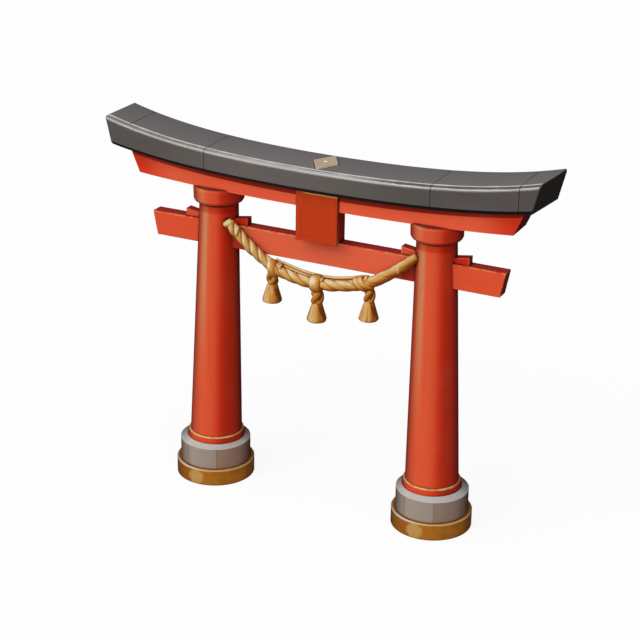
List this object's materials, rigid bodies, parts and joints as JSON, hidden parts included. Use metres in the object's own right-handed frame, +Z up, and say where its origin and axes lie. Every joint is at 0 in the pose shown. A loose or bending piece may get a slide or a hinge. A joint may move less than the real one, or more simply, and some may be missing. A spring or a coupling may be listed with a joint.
{
  "type": "torii gate",
  "caption": "Japanese shrine gate: leaning round posts on stone and gilt footings, wedged tie beam, name board, bowed dark top lintel and a slung straw rope with tassels.",
  "frame": {"origin": "on the floor, midway between the two posts, under the middle of the gate's depth", "axes": "+X along the gate to the right as seen from the front, -Y out of the front (the name board's side), +Z up"},
  "size_m": [5.6783, 0.996, 4.6433],
  "materials": {
    "vermilion_timber": "vermilion lacquer paint on planed timber",
    "name_board": "deeper red lacquer paint",
    "dark_lintel": "dark grey satin coating over timber",
    "plinth_stone": "dressed granite",
    "gilt_shoe": "burnished gilt sheet",
    "gilt_trim": "pale gilt",
    "gilt_plate": "dull tan gilt",
    "straw_rope": "twisted rice straw",
    "straw_tassel": "combed rice straw"
  },
  "bodies": {
    "root": {"left_column": "vermilion_timber", "right_column": "vermilion_timber", "left_cap_ring": "vermilion_timber", "right_cap_ring": "vermilion_timber", "left_foot_ring": "vermilion_timber", "right_foot_ring": "vermilion_timber", "tie_beam": "vermilion_timber", "left_outer_wedge": "vermilion_timber", "left_inner_wedge": "vermilion_timber", "right_outer_wedge": "vermilion_timber", "right_inner_wedge": "vermilion_timber", "centre_strut": "vermilion_timber", "lower_lintel": "vermilion_timber", "board_frame": "name_board", "board_panel": "name_board", "top_lintel_left_end": "dark_lintel", "top_lintel_left": "dark_lintel", "top_lintel_middle": "dark_lintel", "top_lintel_right": "dark_lintel", "top_lintel_right_end": "dark_lintel", "left_base_shoe": "gilt_shoe", "left_plinth_stone": "plinth_stone", "left_gilt_band": "gilt_trim", "right_base_shoe": "gilt_shoe", "right_plinth_stone": "plinth_stone", "right_gilt_band": "gilt_trim", "ridge_plate": "gilt_plate", "ridge_stud": "gilt_plate", "hanging_rope": "straw_rope", "thin_cord": "straw_rope", "left_knot": "straw_rope", "middle_knot": "straw_rope", "right_knot": "straw_rope", "left_tassel": "straw_tassel", "middle_tassel": "straw_tassel", "right_tassel": "straw_tassel"}
  },
  "joints": []
}
